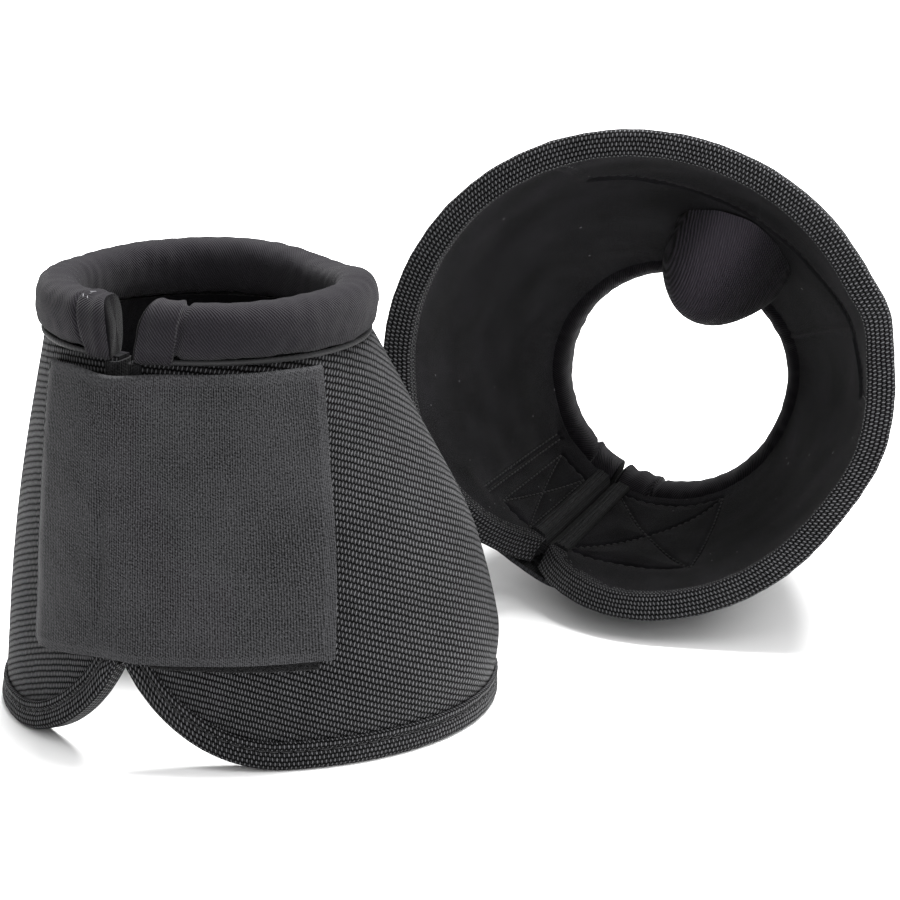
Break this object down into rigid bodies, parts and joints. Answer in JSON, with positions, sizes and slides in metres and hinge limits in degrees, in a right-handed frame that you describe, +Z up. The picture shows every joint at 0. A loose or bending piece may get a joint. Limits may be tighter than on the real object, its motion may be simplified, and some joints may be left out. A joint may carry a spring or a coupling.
{
  "type": "horse bell boots",
  "caption": "Pair of pull-round horse bell boots with padded rolled collar, flared nylon bell, front slit and wide hook-and-loop strap; one standing, one lying.",
  "frame": {"origin": "On the floor, under the middle of the pair's bounding box.", "axes": "+Z up from the floor. The standing boot is towards -X and -Y with its slit facing mostly -Y; the lying boot is towards +X and +Y with its hoof opening facing -Y."},
  "size_m": [0.2826, 0.287, 0.1709],
  "materials": {
    "ballistic_nylon": "thick woven nylon, matte with a slight sheen",
    "woven_binding": "woven nylon fold, matte",
    "ribbed_tape": "ribbed grosgrain, matte",
    "stretch_knit": "stretch knit, soft matte",
    "seam_piping": "stitched cord, matte",
    "brushed_lining": "brushed lining, matte",
    "cushion_foam": "closed-cell cushion foam, matte",
    "loop_tape": "loop pile tape, matte",
    "hook_tape": "hook tape, matte",
    "strap_webbing": "ribbed woven backing, matte"
  },
  "bodies": {
    "left_boot": {"left_shell_panel_long": "ballistic_nylon", "left_shell_panel_short": "ballistic_nylon", "left_foam_core": "cushion_foam", "left_lining_panel_long": "brushed_lining", "left_lining_panel_short": "brushed_lining", "left_hem_binding": "woven_binding", "left_slit_tape_strap_side": "ribbed_tape", "left_slit_tape_tongue_side": "ribbed_tape", "left_collar_foam": "cushion_foam", "left_collar_cover": "stretch_knit", "left_collar_end_wrap_strap_side": "stretch_knit", "left_collar_end_wrap_tongue_side": "stretch_knit", "left_collar_piping": "seam_piping", "left_heel_patch": "brushed_lining", "left_no_turn_knob_foam": "cushion_foam", "left_no_turn_knob_cover": "stretch_knit", "left_landing_loop_patch": "loop_tape", "left_tongue_base": "loop_tape"},
    "left_strap": {"left_closing_strap": "strap_webbing"},
    "left_tongue": {"left_tongue_hook_tape": "hook_tape", "left_tongue_loop_tape": "loop_tape"},
    "right_boot": {"right_shell_panel_long": "ballistic_nylon", "right_shell_panel_short": "ballistic_nylon", "right_foam_core": "cushion_foam", "right_lining_panel_long": "brushed_lining", "right_lining_panel_short": "brushed_lining", "right_hem_binding": "woven_binding", "right_slit_tape_strap_side": "ribbed_tape", "right_slit_tape_tongue_side": "ribbed_tape", "right_collar_foam": "cushion_foam", "right_collar_cover": "stretch_knit", "right_collar_end_wrap_strap_side": "stretch_knit", "right_collar_end_wrap_tongue_side": "stretch_knit", "right_collar_piping": "seam_piping", "right_heel_patch": "brushed_lining", "right_no_turn_knob_foam": "cushion_foam", "right_no_turn_knob_cover": "stretch_knit", "right_landing_loop_patch": "loop_tape", "right_tongue_base": "loop_tape"},
    "right_strap": {"right_closing_strap": "strap_webbing"},
    "right_tongue": {"right_tongue_hook_tape": "hook_tape", "right_tongue_loop_tape": "loop_tape"}
  },
  "joints": [
    {"name": "left_strap_hinge", "type": "hinge", "parent": "left_boot", "child": "left_strap", "pos_m": [-0.12303, -0.10795, 0.0765], "axis": [-0.0592, -0.0308, -0.9978], "range_deg": [0, 150]},
    {"name": "left_tongue_hinge", "type": "hinge", "parent": "left_boot", "child": "left_tongue", "pos_m": [-0.09183, -0.13474, 0.078], "axis": [0.0126, 0.0372, 0.9992], "range_deg": [0, 30]},
    {"name": "right_boot_lift", "type": "slide", "parent": "left_boot", "child": "right_boot", "axis": [0, 0, 1], "range_m": [0, 0.3]},
    {"name": "right_strap_hinge", "type": "hinge", "parent": "right_boot", "child": "right_strap", "pos_m": [0.01749, 0.07754, 0.0341], "axis": [0.3134, 0.9481, -0.0535], "range_deg": [0, 150]},
    {"name": "right_tongue_hinge", "type": "hinge", "parent": "right_boot", "child": "right_tongue", "pos_m": [0.04745, 0.06889, 0.0069], "axis": [-0.2642, -0.9634, 0.0455], "range_deg": [0, 30]}
  ],
  "couplings": [
    {"joint": "left_tongue_hinge", "follows": "left_strap_hinge", "ratio": 0.2},
    {"joint": "right_strap_hinge", "follows": "right_boot_lift", "rad_per_m": 8.72},
    {"joint": "right_tongue_hinge", "follows": "right_boot_lift", "rad_per_m": 1.74}
  ]
}
